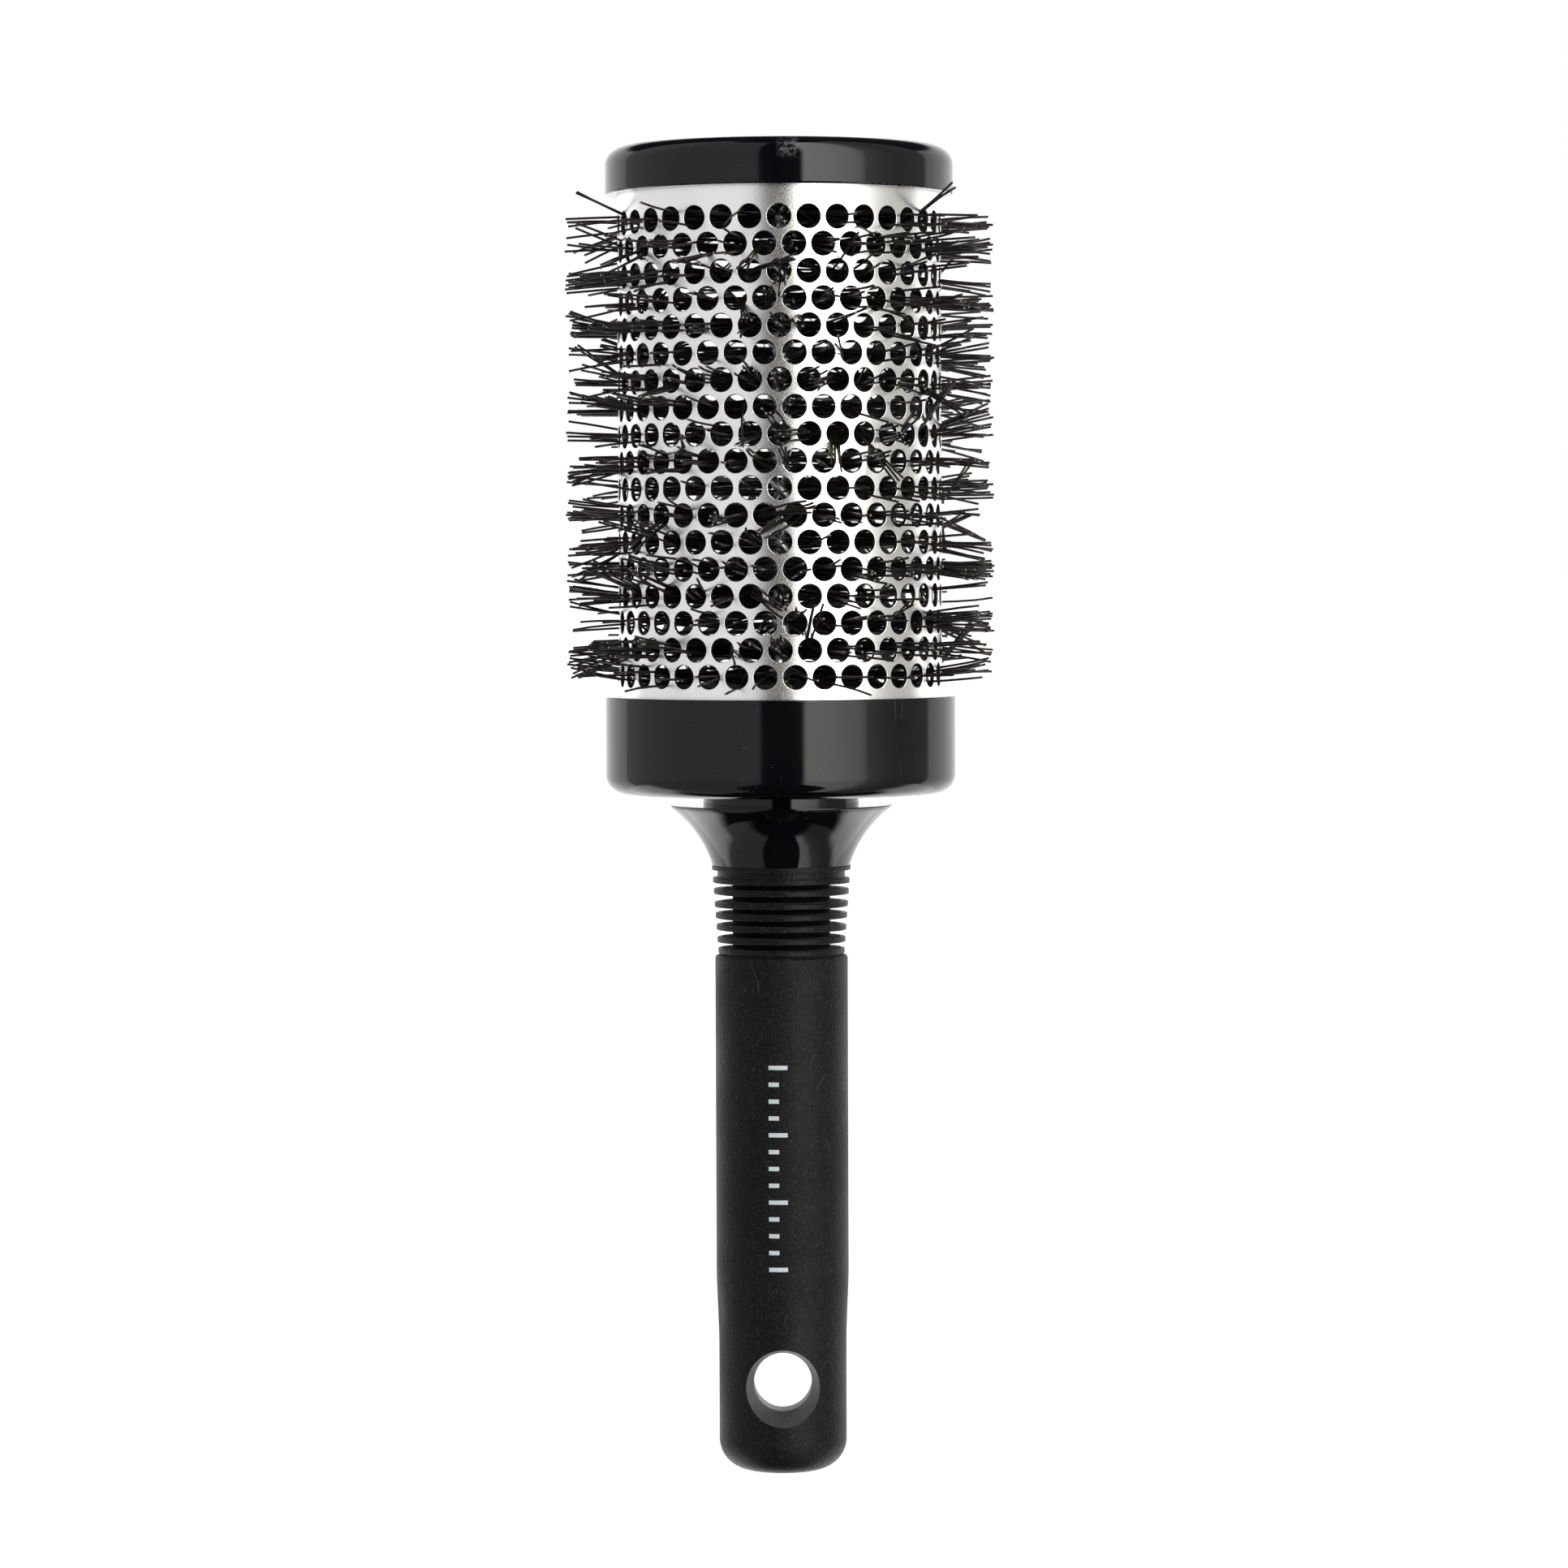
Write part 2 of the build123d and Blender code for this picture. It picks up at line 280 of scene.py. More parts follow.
def gloss_black():
    """Polished black ABS with dust, hairline scratches and a faint haze. The cap's top is satin."""
    look = Look("gloss_black")
    haze = look.noise(90, 3, 0.6)
    dust = look.specks(760, 0.06, 0.28)
    lint = look.hairlines((260, 260, 90), 0.0012)
    lint = look.math("MULTIPLY", lint, look.levels(look.noise(150, 1), 0.60, 0.66, 0, 1))
    marks = look.math("MAXIMUM", dust, lint)
    base = look.mix(look.levels(haze, 0.35, 0.7, 0, 1), (0.0022, 0.0025, 0.0040), (0.0045, 0.0047, 0.0060))
    scuff = look.near("X", SCUFF_AT.x, 1.0 * MM, 1.1 * MM)
    scuff = look.math("MULTIPLY", scuff, look.near("Z", SCUFF_AT.z, 0.7 * MM, 1.2 * MM))
    scuff = look.math("MULTIPLY", scuff, look.near("Y", SCUFF_AT.y, 2 * MM, 1 * MM))
    scuff = look.math("MULTIPLY", scuff, look.levels(look.noise(1400, 3, 0.7), 0.42, 0.62, 0, 1))
    base = look.mix(look.math("MULTIPLY", scuff, 0.85), base, (0.11, 0.115, 0.125))
    look.feed("Base Color", look.mix(marks, base, (0.10, 0.10, 0.095)))
    look.set(Specular_IOR_Level=0.33)
    rough = look.levels(haze, 0.3, 0.75, 0.05, 0.11)
    rough = look.math("ADD", rough, look.math("MULTIPLY", scuff, 0.3))
    satin = look.levels(look.facing_up(), 0.93, 0.995, 0, 1)
    satin = look.math("MULTIPLY", satin, look.near("Z", CAP_TOP, 3 * MM, 1 * MM))
    rough = look.math("ADD", rough, look.math("MULTIPLY", satin, 0.55))
    look.feed("Roughness", look.math("ADD", rough, look.math("MULTIPLY", marks, 0.5)))
    waviness = look.bump(look.noise(60, 1), 0.12, 0.0002)
    look.feed("Normal", look.bump(look.noise(2500, 2), 0.03, 0.00002, waviness))
    return look.material


def barrel_aluminium():
    """Bright drawn aluminium with a fine sparkling grain and faint drawing lines round the tube."""
    look = Look("barrel_aluminium")
    grain = look.noise(5200, 2, 0.7)
    flakes = look.noise(1.0, 2, 0.6, look.stretched((5200, 5200, 2000)))
    cloud = look.noise(120, 3, 0.6)
    lines = look.noise(1.0, 2, 0.6, look.stretched((60, 60, 5200)))
    tone = look.mix(look.levels(cloud, 0.3, 0.7, 0, 1), (0.945, 0.94, 0.925), (0.975, 0.97, 0.955))
    pits = look.specks(1500, 0.07, 0.3)
    look.feed("Base Color", look.mix(pits, tone, (0.5, 0.5, 0.49)))
    look.feed("Roughness", look.levels(grain, 0.3, 0.7, 0.22, 0.30))
    drawn = look.bump(lines, 0.10, 0.00003)
    look.feed("Normal", look.bump(flakes, 0.13, 0.00006, drawn))
    look.set(Metallic=1.0)
    return look.material


def shade_painted_aluminium(name, light, dark):
    """The tube's rougher metal, darkened with painted shade: the walls of the holes, or the inside."""
    look = Look(name)
    streaks = look.noise(1.0, 3, 0.65, look.stretched((300, 300, 3600)))
    fine = look.noise(4800, 2, 0.6)
    look.feed("Base Color", look.mix(look.levels(streaks, 0.35, 0.65, 0, 1), (light,) * 3, (dark,) * 3))
    look.feed("Roughness", look.levels(fine, 0.3, 0.7, 0.34, 0.5))
    look.feed("Normal", look.bump(streaks, 0.25, 0.00005))
    look.set(Metallic=1.0)
    return look.material


def soft_rubber(name, shade, rough_low, rough_high, valley_shade_r=0.0):
    """Matt black rubber: moulded grain, mottled sheen, rubbed patches, dust, and a greyer hanging hole whose
    land carries a painted pool of light.

    Nearer to the brush's axis than the valley radius, between the ribs, it is duller and darkened with
    painted shade.
    """
    look = Look(name)
    grain = look.noise(2300, 2, 0.6)
    mottle = look.noise(110, 4, 0.6)
    rubbed = look.noise(42, 2, 0.5)
    dust = look.specks(800, 0.07, 0.3)
    lint = look.hairlines((240, 240, 110), 0.0014)
    lint = look.math("MULTIPLY", lint, look.levels(look.noise(140, 1), 0.62, 0.67, 0, 1))
    marks = look.math("MAXIMUM", dust, lint)
    dark = (0.55 * shade,) * 3
    light = (1.22 * shade, 1.22 * shade, 1.19 * shade)
    tone = look.mix(look.levels(mottle, 0.3, 0.7, 0, 1), dark, light)
    tone = look.mix(look.levels(grain, 0.5, 0.72, 0, 1), tone, (5.0 * shade,) * 3)
    bore_with_painted_light = look.mix(look.levels(grain, 0.42, 0.62, 0, 1), (0.006,) * 3, (0.024, 0.024, 0.026))
    # Painted light: the land in the middle of the hanging hole is coloured pale beige.
    bore_with_painted_light = look.mix(look.nearer(PAINTED_LIGHT_LAND_R, (1, 0, 1)), bore_with_painted_light, (0.36, 0.34, 0.31))
    tone = look.mix(look.facing_bore(), tone, bore_with_painted_light)
    # Painted shade: the base colour between the ribs, near the axis, is darkened.
    valley = look.nearer(valley_shade_r, (1, 1, 0))
    tone = look.mix(valley, tone, (0.15 * shade,) * 3)
    look.feed("Base Color", look.mix(marks, tone, (0.11, 0.11, 0.11)))
    sheen = look.math("ADD", look.math("MULTIPLY", mottle, 0.4), look.math("MULTIPLY", rubbed, 0.6))
    rough = look.levels(sheen, 0.38, 0.62, rough_high, rough_low)
    look.feed("Roughness", look.math("MAXIMUM", rough, look.math("MULTIPLY", valley, 0.85)))
    look.feed("Normal", look.bump(grain, 1.0, 0.00013))
    look.set(Specular_IOR_Level=0.15, Sheen_Weight=0.05, Sheen_Roughness=0.28)
    return look.material


def steel_wire():
    """Drawn steel wire with a fine grain and grey oxide in patches."""
    look = Look("steel_wire")
    patch = look.noise(420, 3, 0.6)
    fine = look.noise(5200, 2, 0.6)
    tone = look.mix(look.levels(patch, 0.35, 0.7, 0, 1), (0.80, 0.80, 0.79), (0.58, 0.58, 0.58))
    look.feed("Base Color", tone)
    look.feed("Roughness", look.levels(fine, 0.3, 0.7, 0.28, 0.42))
    look.feed("Normal", look.bump(fine, 0.2, 0.00003))
    look.set(Metallic=1.0)
    return look.material


def nylon_bristle():
    """Black nylon with a slight brown cast and a smooth skin."""
    look = Look("nylon_bristle")
    along = look.noise(700, 2, 0.5)
    tone = look.mix(look.levels(along, 0.3, 0.7, 0, 1), (0.006, 0.0055, 0.005), (0.018, 0.015, 0.012))
    look.feed("Base Color", tone)
    look.feed("Roughness", look.levels(along, 0.3, 0.7, 0.26, 0.4))
    look.feed("Normal", look.bump(look.noise(6000, 1), 0.15, 0.00002))
    look.set(IOR=1.53, Specular_IOR_Level=0.2)
    return look.material


def bristle_cut():
    """The cut end of a filament, paler and rough."""
    look = Look("bristle_cut")
    fine = look.noise(5000, 2, 0.6)
    look.feed("Base Color", look.mix(fine, (0.10, 0.095, 0.09), (0.30, 0.29, 0.27)))
    look.feed("Roughness", look.levels(fine, 0.3, 0.7, 0.45, 0.7))
    return look.material


def pad_print():
    """Pale ink, thin, and broken up a little by its own fine grain."""
    look = Look("pad_print")
    fine = look.noise(3800, 3, 0.7)
    tone = look.mix(look.levels(fine, 0.35, 0.75, 0, 1), (0.50, 0.56, 0.60), (0.36, 0.41, 0.45))
    look.feed("Base Color", tone)
    look.feed("Roughness", look.levels(fine, 0.3, 0.7, 0.45, 0.65))
    look.feed("Normal", look.bump(fine, 0.3, 0.00005))
    return look.material


def piece_from(name, verts, faces, materials, normals=None, slots=None):
    """A smooth-shaded mesh object. Slots gives each face's material, where there are several."""
    mesh = bpy.data.meshes.new(name)
    mesh.from_pydata(verts, [], faces)
    mesh.polygons.foreach_set("use_smooth", [True] * len(mesh.polygons))
    for material in materials:
        mesh.materials.append(material)
    if slots:
        mesh.polygons.foreach_set("material_index", slots)
    mesh.update()
    if normals:
        mesh.normals_split_custom_set_from_vertices(normals)
    piece = bpy.data.objects.new(name, mesh)
    bpy.context.scene.collection.objects.link(piece)
    return piece


def settle(piece, slot, *nodes):
    """The piece rides on the brush's one body and stands for these nodes. The slot is not used."""
    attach(piece, "root")
    if nodes:
        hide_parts(*nodes)


def row_z(row):
    return TOP_ROW_Z - row * ROW_PITCH


def hole_azimuth(row, index):
    """Direction of a hole from +X, in radians. The top row has a hole facing -Y."""
    return math.radians(-90 + (index + 0.5 * (row % 2)) * 360 / HOLES_PER_ROW)


def polar(radius, azimuth, z):
    return Vector((radius * math.cos(azimuth), radius * math.sin(azimuth), z))


class BarrelMesh:
    """The perforated tube as a brick pattern of cells, one round each hole."""

    def __init__(self):
        self.verts = []
        self.normals = []
        self.faces = []
        self.slots = []
        self.known = {}
        self.columns = HOLES_PER_ROW * SIDE_STEPS
        self.grid_top = TOP_ROW_Z + ROW_PITCH / 2

    def vertex(self, key, point, normal):
        if key not in self.known:
            self.known[key] = len(self.verts)
            self.verts.append(point)
            self.normals.append(normal)
        return self.known[key]

    def on_grid(self, outside, column, z):
        """A point of the tube's outer or inner face on one of the grid's upright lines."""
        column %= self.columns
        azimuth = hole_azimuth(0, 0) + (column / SIDE_STEPS - 0.5) * 2 * math.pi / HOLES_PER_ROW
        radius = BARREL_R if outside else BARREL_R - BARREL_WALL
        sign = 1 if outside else -1
        return self.vertex((outside, column, round(z, 7)), polar(radius, azimuth, z), polar(sign, azimuth, 0))

    def cell_border(self, outside, row, index):
        """The border of one hole's cell, anticlockwise seen from outside, from its upper right corner."""
        left = index * SIDE_STEPS + (SIDE_STEPS // 2) * (row % 2)
        top = self.grid_top - row * ROW_PITCH
        step = ROW_PITCH / SIDE_STEPS
        places = [(left + SIDE_STEPS - n, top) for n in range(SIDE_STEPS)]
        places += [(left, top - n * step) for n in range(SIDE_STEPS)]
        places += [(left + n, top - ROW_PITCH) for n in range(SIDE_STEPS)]
        places += [(left + SIDE_STEPS, top - ROW_PITCH + n * step) for n in range(SIDE_STEPS)]
        return [self.on_grid(outside, column, z) for column, z in places]

    def hole_ring(self, row, index, ring, hole_r, radius, facing):
        """A ring of points round one hole. Facing is 1 out, -1 in and 0 towards the hole's own axis."""
        middle = hole_azimuth(row, index)
        loop = []
        for n in range(RING_STEPS):
            angle = math.pi / 4 + 2 * math.pi * n / RING_STEPS
            across = hole_r * math.cos(angle)
            azimuth = middle + math.asin(across / radius)
            point = polar(radius, azimuth, row_z(row) + hole_r * math.sin(angle))
            if facing:
                normal = polar(facing, azimuth, 0)
            else:
                tangent = Vector((-math.sin(middle), math.cos(middle), 0))
                normal = -math.cos(angle) * tangent - Vector((0, 0, math.sin(angle)))
            loop.append(self.vertex((row, index, ring, n), point, normal))
        return loop

    def face(self, corners, finish):
        """Finish is 0 for the polished skin, 1 for the wall of a hole and 2 for the inside; 1 and 2 carry
        painted shade.
        """
        self.faces.append(corners)
        self.slots.append(finish)

    def bridge(self, loop, following, finish):
        for n in range(len(loop)):
            m = (n + 1) % len(loop)
            self.face((loop[n], loop[m], following[m], following[n]), finish)

    def cell(self, row, index):
        inner_r = BARREL_R - BARREL_WALL
        rings = [
            self.cell_border(True, row, index),
            self.hole_ring(row, index, 0, HOLE_R + HOLE_BEVEL, BARREL_R, 1),
            self.hole_ring(row, index, 1, HOLE_R, BARREL_R - HOLE_BEVEL, 0),
            self.hole_ring(row, index, 2, HOLE_R, inner_r + HOLE_BEVEL, 0),
            self.hole_ring(row, index, 3, HOLE_R + HOLE_BEVEL, inner_r, -1),
            self.cell_border(False, row, index),
        ]
        for loop, following, finish in zip(rings, rings[1:], (0, 0, 1, 2, 2)):
            self.bridge(loop, following, finish)

    def band(self, upper, lower):
        """A plain band between two heights, on both faces."""
        for outside in (True, False):
            for column in range(self.columns):
                face = (
                    self.on_grid(outside, column, lower),
                    self.on_grid(outside, column + 1, lower),
                    self.on_grid(outside, column + 1, upper),
                    self.on_grid(outside, column, upper),
                )
                self.face(face if outside else face[::-1], 0 if outside else 2)

    def end(self, z, up):
        """The annular end of the tube."""
        for column in range(self.columns):
            face = (
                self.on_grid(True, column, z),
                self.on_grid(True, column + 1, z),
                self.on_grid(False, column + 1, z),
                self.on_grid(False, column, z),
            )
            self.face(face if up else face[::-1], 1)


def build_barrel(materials):
    """The perforated tube, between the heights that its CAD node has."""
    low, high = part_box("barrel_tube")
    barrel = BarrelMesh()
    for row in range(ROWS):
        for index in range(HOLES_PER_ROW):
            barrel.cell(row, index)
    barrel.band(high.z, barrel.grid_top)
    barrel.band(barrel.grid_top - ROWS * ROW_PITCH, low.z)
    barrel.end(high.z, True)
    barrel.end(low.z, False)
    shape = (barrel.verts, barrel.faces)
    piece = piece_from("perforated_barrel", *shape, materials, barrel.normals, barrel.slots)
    settle(piece, "barrel_aluminium", "barrel_tube")


class Filaments:
    """Round filaments gathered into one mesh."""

    def __init__(self):
        self.verts = []
        self.faces = []
        self.slots = []

    def add(self, path, radius, pale_tip):
        """One filament along a path of points, cut square at both ends."""
        sides = BRISTLE_SIDES
        first = len(self.verts)
        heading = (path[1] - path[0]).normalized()
        side = heading.orthogonal().normalized()
        for n, point in enumerate(path):
            ahead = path[min(n + 1, len(path) - 1)]
            behind = path[max(n - 1, 0)]
            turn = heading.rotation_difference((ahead - behind).normalized())
            side = turn @ side
            heading = (ahead - behind).normalized()
            other = heading.cross(side)
            for k in range(sides):
                angle = 2 * math.pi * k / sides
                self.verts.append(point + radius * (math.cos(angle) * side + math.sin(angle) * other))
        for n in range(len(path) - 1):
            ring = first + n * sides
            for k in range(sides):
                m = (k + 1) % sides
                self.faces.append((ring + k, ring + m, ring + sides + m, ring + sides + k))
                self.slots.append(0)
        last = first + (len(path) - 1) * sides
        self.faces.append(tuple(first + k for k in reversed(range(sides))))
        self.slots.append(0)
        self.faces.append(tuple(last + k for k in range(sides)))
        self.slots.append(1 if pale_tip else 0)


def clump_way(draw, row, azimuth):
    """How far a clump rises and leans sideways where it leaves its hole, in radians.

    Most clumps rise as their neighbours do, and a few stray.
    """
    kind = draw.random()
    spread = math.radians(2.5 if kind < 0.62 else 12 if kind < 0.84 else 26)
    shared = math.radians(5) * math.sin(2 * azimuth + row * 1.9)
    return shared + draw.gauss(0, spread), draw.gauss(0, max(spread, math.radians(4)))


def outside_filament(draw, azimuth, z, rise, lean):
    """The path of one filament: it curves on its way from the stem and leaves its hole straight."""
    outward = polar(1, azimuth, 0)
    tangent = Vector((-outward.y, outward.x, 0))
    up = Vector((0, 0, 1))
    rise += draw.gauss(0, math.radians(2.6))
    lean += draw.gauss(0, math.radians(2.6))
    final = (outward + tangent * math.tan(lean) + up * math.tan(rise)).normalized()
    spot = [LEAN_TO_EDGE * math.tan(angle) + draw.gauss(0, 0.75 * MM) for angle in (lean, rise)]
    limit = HOLE_R - 1.5 * BRISTLE_R
    away = max(math.hypot(*spot) / limit, 1)
    gate_r = BARREL_R - BARREL_WALL / 2
    gate = polar(gate_r, azimuth + spot[0] / away / gate_r, z + spot[1] / away)
    root = polar(STEM_CLEAR_R, azimuth + draw.gauss(0, 0.05), z + draw.uniform(-0.45, 0.45) * ROW_PITCH)
    leave = root + outward * SWEEP
    arrive = gate - final * SWEEP
    path = []
    for n in range(6):
        s = n / 5
        near_stem = root * (1 - s) ** 3 + leave * (3 * s * (1 - s) ** 2)
        path.append(near_stem + arrive * (3 * s * s * (1 - s)) + gate * s ** 3)
    length = BRISTLE_LENGTH - (gate - root).length - STEM_CLEAR_R - draw.uniform(0, 0.5 * MM)
    curl = tangent * draw.gauss(0, 0.03) + up * draw.gauss(0, 0.03)
    for n in range(1, 4):
        reach = n / 3
        path.append(gate + (final + curl * reach * reach).normalized() * (reach * length))
    return path


def trapped_filament(draw, azimuth, z):
    """The path of a filament that missed the holes and lies bent along the inner wall."""
    reach = draw.uniform(16.5, 20.5) * MM
    wall = draw.uniform(24.2, 25.25) * MM
    bend = (wall - reach) * math.pi / 2
    way = draw.choice((0, math.pi)) + draw.gauss(0, 0.75)
    path = [polar(STEM_CLEAR_R, azimuth, z), polar(reach * 0.55, azimuth + draw.gauss(0, 0.02), z)]
    path.append(polar(reach, azimuth, z))
    radius = reach
    steps = 7
    left = BRISTLE_LENGTH - reach - draw.uniform(0, 3) * MM
    for n in range(steps):
        travelled = (n + 0.5) / steps * left
        away = math.pi / 2 * min(travelled / bend, 1)
        step = left / steps
        radius = min(radius + math.cos(away) * step, wall)
        azimuth += math.sin(away) * math.cos(way) * step / radius
        z += math.sin(away) * math.sin(way) * step
        z = min(max(z, TRAPPED_LOW), TRAPPED_HIGH)
        path.append(polar(radius, azimuth, z))
    return path


def clump_size(draw, row, azimuth):
    """How many filaments share a hole. Their number swings round the stem as its twist does."""
    mean = CLUMP_SIZE + CLUMP_SWING * math.sin(azimuth + row * SWING_PER_ROW)
    return max(round(draw.gauss(mean, 1.1)), 0)


def build_bristle_row(row, materials):
    """One row of clumps, a clump to a hole, with the trapped filaments behind it."""
    draw = random.Random(4100 + row)
    filaments = Filaments()
    for index in range(HOLES_PER_ROW):
        azimuth = hole_azimuth(row, index)
        rise, lean = clump_way(draw, row, azimuth)
        for _ in range(clump_size(draw, row, azimuth)):
            path = outside_filament(draw, azimuth, row_z(row), rise, lean)
            filaments.add(path, BRISTLE_R, draw.random() < 0.6)
    for _ in range(TRAPPED_ENDS):
        z = row_z(row) + draw.uniform(-0.5, 0.5) * ROW_PITCH
        z = min(max(z, TRAPPED_LOW + 1 * MM), TRAPPED_HIGH - 0.3 * MM)
        filaments.add(trapped_filament(draw, draw.uniform(0, 2 * math.pi), z), BRISTLE_R, False)
    name = f"bristles_{row + 1:02d}"
    piece = piece_from(name, filaments.verts, filaments.faces, materials, slots=filaments.slots)
    settle(piece, "nylon_bristle", f"bristle_row_{row + 1:02d}")


def rib_outline():
    """The sleeve's outline from top to bottom: radius, height and which rib a point belongs to."""
    outline = [(SLEEVE_INNER_R, SLEEVE_TOP, -1)]
    for rib in range(RIBS):
        share = rib / (RIBS - 1)
        radius = RIB_TOP_R + share * (RIB_BOTTOM_R - RIB_TOP_R)
        middle = SLEEVE_TOP - RIB_THICKNESS / 2 - rib * RIB_PITCH
        half = RIB_THICKNESS / 2
        valley = SLEEVE_COLLAR_R if rib == 0 else SLEEVE_R
        above = SLEEVE_COLLAR_R if rib == 1 else SLEEVE_R
        if rib:
            outline.append((above, middle + half, rib))
        for side in (1, -1):
            for n in range(5):
                angle = (4 - n if side > 0 else n) * math.pi / 8
                outline.append((
                    radius - RIB_EDGE_R + RIB_EDGE_R * math.cos(angle),
                    middle + side * (half - RIB_EDGE_R + RIB_EDGE_R * math.sin(angle)),
                    rib,
                ))
        outline.append((valley, middle - half, rib))
    outline.append((SLEEVE_R, SLEEVE_BOTTOM, -1))
    outline.append((SLEEVE_INNER_R, SLEEVE_BOTTOM, -1))
    return outline


def build_ribs(material):
    """The finned sleeve, turned from its outline, with each soft fin waving slightly round its edge."""
    draw = random.Random(77)
    outline = rib_outline()
    waves = [[(draw.uniform(0.3, 1), draw.uniform(0, 6.28), k) for k in (1, 2, 3)] for _ in range(RIBS)]
    sway = [draw.gauss(0, RIB_SWAY) for _ in range(RIBS)]
    verts = []
    for n in range(RIB_STEPS):
        azimuth = 2 * math.pi * n / RIB_STEPS
        for radius, z, rib in outline:
            if rib > 0:
                out = max(radius - SLEEVE_R, 0) / (RIB_BOTTOM_R - SLEEVE_R)
                wave = sum(a * math.sin(k * azimuth + p) / k for a, p, k in waves[rib])
                z += out * (RIB_WAVE * wave + sway[rib])
            z = min(max(z, SLEEVE_BOTTOM), SLEEVE_TOP)
            verts.append(polar(radius, azimuth, z))
    faces = []
    size = len(outline)
    for n in range(RIB_STEPS):
        m = (n + 1) % RIB_STEPS
        for k in range(size):
            j = (k + 1) % size
            faces.append((n * size + k, n * size + j, m * size + j, m * size + k))
    piece = piece_from("ribbed_sleeve_rubber", verts, faces, [material])
    piece.data.set_sharp_from_angle(angle=math.radians(32))
    settle(piece, "soft_rubber", "ribbed_sleeve")


def build_print(material):
    """A plain scale of pad-printed ticks down the front of the grip."""
    verts = []
    faces = []
    surface = GRIP_R + INK_PROUD

    def tick(left, right, low, high):
        first = len(verts)
        for n in range(INK_STEPS + 1):
            x = left + (right - left) * n / INK_STEPS
            azimuth = -math.pi / 2 + x / GRIP_R
            for radius in (surface, surface - INK_THICKNESS):
                verts.append(polar(radius, azimuth, low))
                verts.append(polar(radius, azimuth, high))
        for n in range(INK_STEPS):
            a = first + 4 * n
            b = a + 4
            faces.append((a, b, b + 1, a + 1))
            faces.append((a + 2, a + 3, b + 3, b + 2))
            faces.append((a, a + 2, b + 2, b))
            faces.append((a + 1, b + 1, b + 3, a + 3))
        last = first + 4 * INK_STEPS
        faces.append((first, first + 1, first + 3, first + 2))
        faces.append((last, last + 2, last + 3, last + 1))

    for n in range(TICKS):
        length = TICK_LENGTH if n % TICKS_PER_LONG_TICK else LONG_TICK_LENGTH
        high = TICKS_TOP - n * TICK_PITCH
        tick(TICKS_LEFT, TICKS_LEFT + length, high - TICK_HEIGHT, high)
    piece = piece_from("grip_ticks", verts, faces, [material])
    piece.data.polygons.foreach_set("use_smooth", [False] * len(piece.data.polygons))
    settle(piece, None)


def dress(node, material):
    """Gives a CAD node that stays in view its finish."""
    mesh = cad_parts[node].data
    mesh.materials.clear()
    mesh.materials.append(material)


def build_floor():
    """A plain pale floor that is seen only from above."""
    bpy.ops.mesh.primitive_circle_add(vertices=96, radius=FLOOR_R, fill_type="NGON")
    floor = bpy.context.object
    floor.name = "studio_floor"
    floor.location.z = CAD_BOX[0].z - FLOOR_DROP
    floor.visible_glossy = False
    floor.visible_diffuse = False
    material = bpy.data.materials.new("studio_floor")
    material.use_nodes = True
    nodes = material.node_tree.nodes
    links = material.node_tree.links
    nodes.clear()
    output = nodes.new("ShaderNodeOutputMaterial")
    paint = nodes.new("ShaderNodeBsdfDiffuse")
    paint.inputs["Color"].default_value = (0.3, 0.3, 0.3, 1)
    glow = nodes.new("ShaderNodeEmission")
    glow.inputs["Strength"].default_value = 0.97
    both = nodes.new("ShaderNodeAddShader")
    clear = nodes.new("ShaderNodeBsdfTransparent")
    sides = nodes.new("ShaderNodeMixShader")
    geometry = nodes.new("ShaderNodeNewGeometry")
    links.new(paint.outputs[0], both.inputs[0])
    links.new(glow.outputs[0], both.inputs[1])
    links.new(geometry.outputs["Backfacing"], sides.inputs[0])
    links.new(both.outputs[0], sides.inputs[1])
    links.new(clear.outputs[0], sides.inputs[2])
    links.new(sides.outputs[0], output.inputs["Surface"])
    floor.data.materials.append(material)


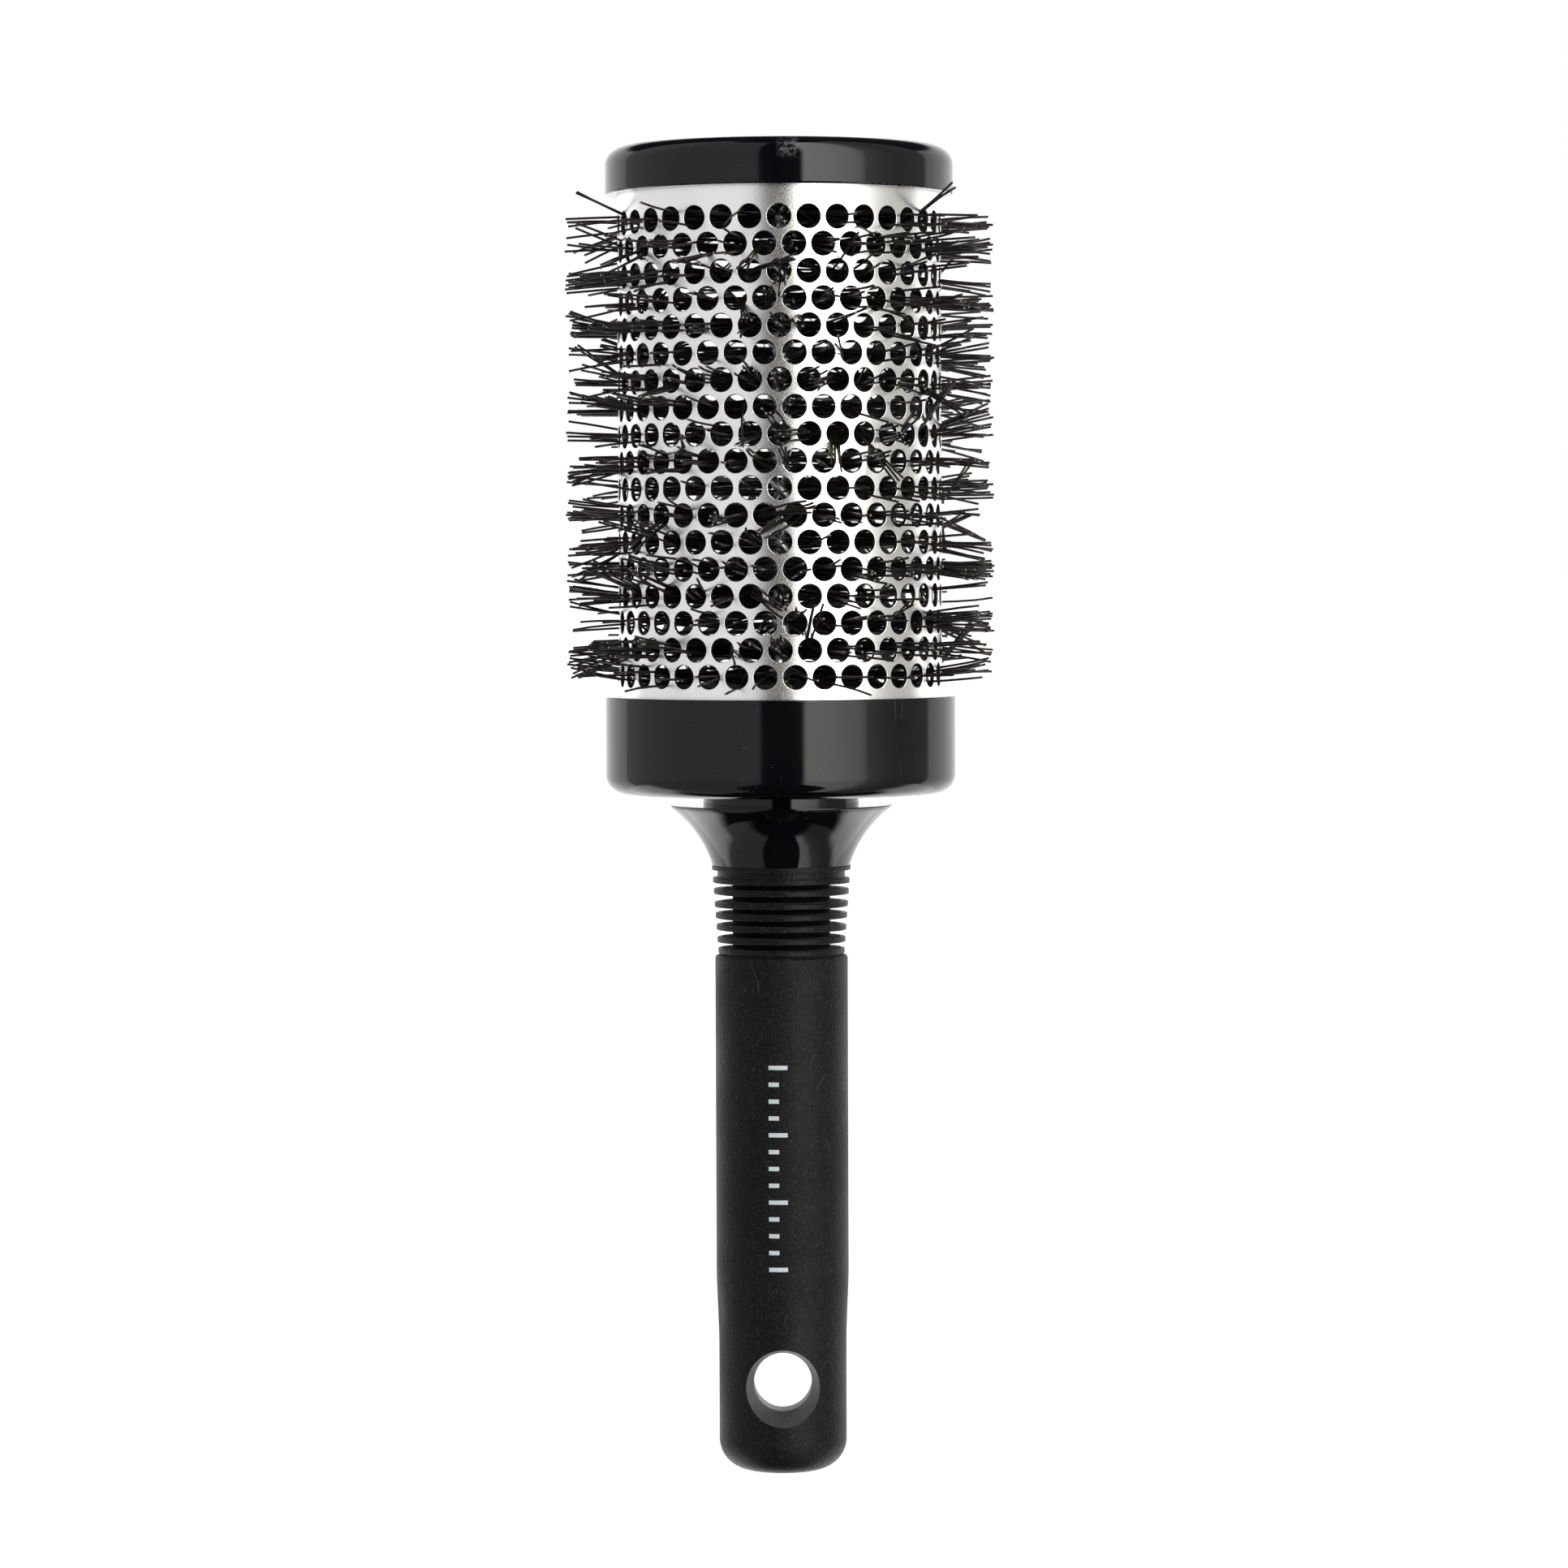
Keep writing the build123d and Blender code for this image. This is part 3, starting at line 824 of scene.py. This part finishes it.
def build_studio():
    """Soft light from a white surround with two tall panels in front and a dark gap between them."""
    world = bpy.data.worlds.new("studio")
    bpy.context.scene.world = world
    world.use_nodes = True
    nodes = world.node_tree.nodes
    links = world.node_tree.links
    nodes.clear()

    def math_node(operation, a, b=0.0):
        node = nodes.new("ShaderNodeMath")
        node.operation = operation
        for socket, value in zip(node.inputs, (a, b)):
            if isinstance(value, (int, float)):
                socket.default_value = value
            else:
                links.new(value, socket)
        return node.outputs[0]

    def around(stops):
        """Brightness by direction round the brush, from stops of (degrees, brightness)."""
        ramp = nodes.new("ShaderNodeValToRGB")
        bands = ramp.color_ramp
        while len(bands.elements) < len(stops):
            bands.elements.new(0.5)
        for element, (degrees, brightness) in zip(bands.elements, stops):
            element.position = degrees / 360 + 0.5
            level = brightness / BRIGHTEST
            element.color = (level, level, level, 1)
        links.new(turn, ramp.inputs["Fac"])
        return math_node("MULTIPLY", ramp.outputs["Color"], BRIGHTEST)

    def fade(source, start, end, before, after):
        """A smooth change from one value to another as the source goes from start to end."""
        node = nodes.new("ShaderNodeMapRange")
        node.interpolation_type = "SMOOTHSTEP"
        for name, value in (("From Min", start), ("From Max", end), ("To Min", before), ("To Max", after)):
            if isinstance(value, (int, float)):
                node.inputs[name].default_value = value
            else:
                links.new(value, node.inputs[name])
        links.new(source, node.inputs["Value"])
        return node.outputs["Result"]

    direction = nodes.new("ShaderNodeTexCoord").outputs["Generated"]
    split = nodes.new("ShaderNodeSeparateXYZ")
    links.new(direction, split.inputs[0])
    away = math_node("MULTIPLY", split.outputs["Y"], -1)
    angle = math_node("ARCTAN2", split.outputs["X"], away)
    turn = math_node("ADD", math_node("DIVIDE", angle, 2 * math.pi), 0.5)
    lift = split.outputs["Z"]
    drop = math_node("MULTIPLY", lift, -1)

    panel = around(PANEL)
    key = around(KEY)
    surround = around(SURROUND)

    # The key is brightest above, and the gap between the panels widens towards the floor. Neither the
    # panels nor the surround reach straight up or straight down.
    key = math_node("MULTIPLY", key, fade(lift, -0.04, 0.07, 0.98, 1.24))
    gap = fade(drop, 0.22, 0.85, math.radians(6), math.radians(38))
    wide = math_node("SUBTRACT", math_node("ABSOLUTE", angle), gap)
    ends = math_node("MULTIPLY", fade(lift, 0.95, 0.975, 1, 0), fade(drop, 0.93, 0.965, 1, 0))
    ends = math_node("MULTIPLY", ends, fade(wide, 0, math.radians(2.5), 0, 1))
    ends = math_node("MULTIPLY", ends, fade(drop, 0.06, 0.35, 1, 0.8))
    surround = math_node("MULTIPLY", surround, fade(lift, 0.40, 0.52, 1, 0))
    surround = math_node("MULTIPLY", surround, fade(drop, 0.15, 0.5, 1, 1.4))
    surround = math_node("MULTIPLY", surround, fade(drop, 0.55, 0.75, 1, 0))

    # Low light from the sides catches the flared neck
    sides = fade(math_node("ABSOLUTE", angle), math.radians(92), math.radians(112), 0, SIDE_LIGHT)
    sides = math_node("MULTIPLY", sides, fade(drop, 0.36, 0.48, 0, 1))
    sides = math_node("MULTIPLY", sides, fade(drop, 0.74, 0.84, 1, 0))
    cool = math_node("ADD", math_node("ADD", math_node("MULTIPLY", panel, ends), surround), FILL)
    cool = math_node("MAXIMUM", cool, sides)
    warm = math_node("MULTIPLY", key, ends)
    light = nodes.new("ShaderNodeCombineXYZ")
    for axis, tint in zip("XYZ", KEY_TINT):
        links.new(math_node("ADD", cool, math_node("MULTIPLY", warm, tint)), light.inputs[axis])

    glow = nodes.new("ShaderNodeBackground")
    links.new(light.outputs[0], glow.inputs["Color"])
    glow.inputs["Strength"].default_value = STUDIO_STRENGTH
    seen = nodes.new("ShaderNodeBackground")
    seen.inputs["Color"].default_value = (1, 1, 1, 1)
    path = nodes.new("ShaderNodeLightPath")
    mix = nodes.new("ShaderNodeMixShader")
    output = nodes.new("ShaderNodeOutputWorld")
    links.new(path.outputs["Is Camera Ray"], mix.inputs[0])
    links.new(glow.outputs[0], mix.inputs[1])
    links.new(seen.outputs[0], mix.inputs[2])
    links.new(mix.outputs[0], output.inputs["Surface"])


def build_camera():
    """The camera, in front of the brush and a little above its middle."""
    camera = bpy.data.objects.new("camera", bpy.data.cameras.new("camera"))
    bpy.context.scene.collection.objects.link(camera)
    camera.data.lens = CAMERA_LENS
    camera.data.sensor_width = 36
    camera.data.clip_start = 0.05
    camera.data.clip_end = 100
    camera.location = CAMERA_AT
    aim = (LOOK_AT - CAMERA_AT).to_track_quat("-Z", "Y")
    camera.rotation_mode = "QUATERNION"
    camera.rotation_quaternion = aim @ Matrix.Rotation(CAMERA_ROLL, 3, "Z").to_quaternion()
    bpy.context.scene.camera = camera


build_camera()
build_studio()
build_floor()
bpy.context.scene.view_settings.view_transform = "Standard"

gloss = gloss_black()
rubber = soft_rubber("grip_rubber", 0.0032, 0.40, 0.56)
rib_rubber = soft_rubber("rib_rubber", 0.0026, 0.34, 0.44, VALLEY_SHADE_R)
bristle_materials = [nylon_bristle(), bristle_cut()]
wire = steel_wire()
for cad_node in ("tip_cap", "barrel_collar", "handle_core"):
    dress(cad_node, gloss)
dress("grip_sleeve", rubber)
for cad_node in ("wire_strand_a", "wire_strand_b"):
    dress(cad_node, wire)

# Painted shade: the walls of the holes are darkened to near black.
hole_wall_painted_shade = shade_painted_aluminium("hole_wall_painted_shade", 0.22, 0.10)
# Painted shade: the inside of the tube is darkened to mid grey.
inner_wall_painted_shade = shade_painted_aluminium("inner_wall_painted_shade", 0.42, 0.25)
build_barrel([barrel_aluminium(), hole_wall_painted_shade, inner_wall_painted_shade])
build_ribs(rib_rubber)
build_print(pad_print())
for bristle_row in range(ROWS):
    build_bristle_row(bristle_row, bristle_materials)
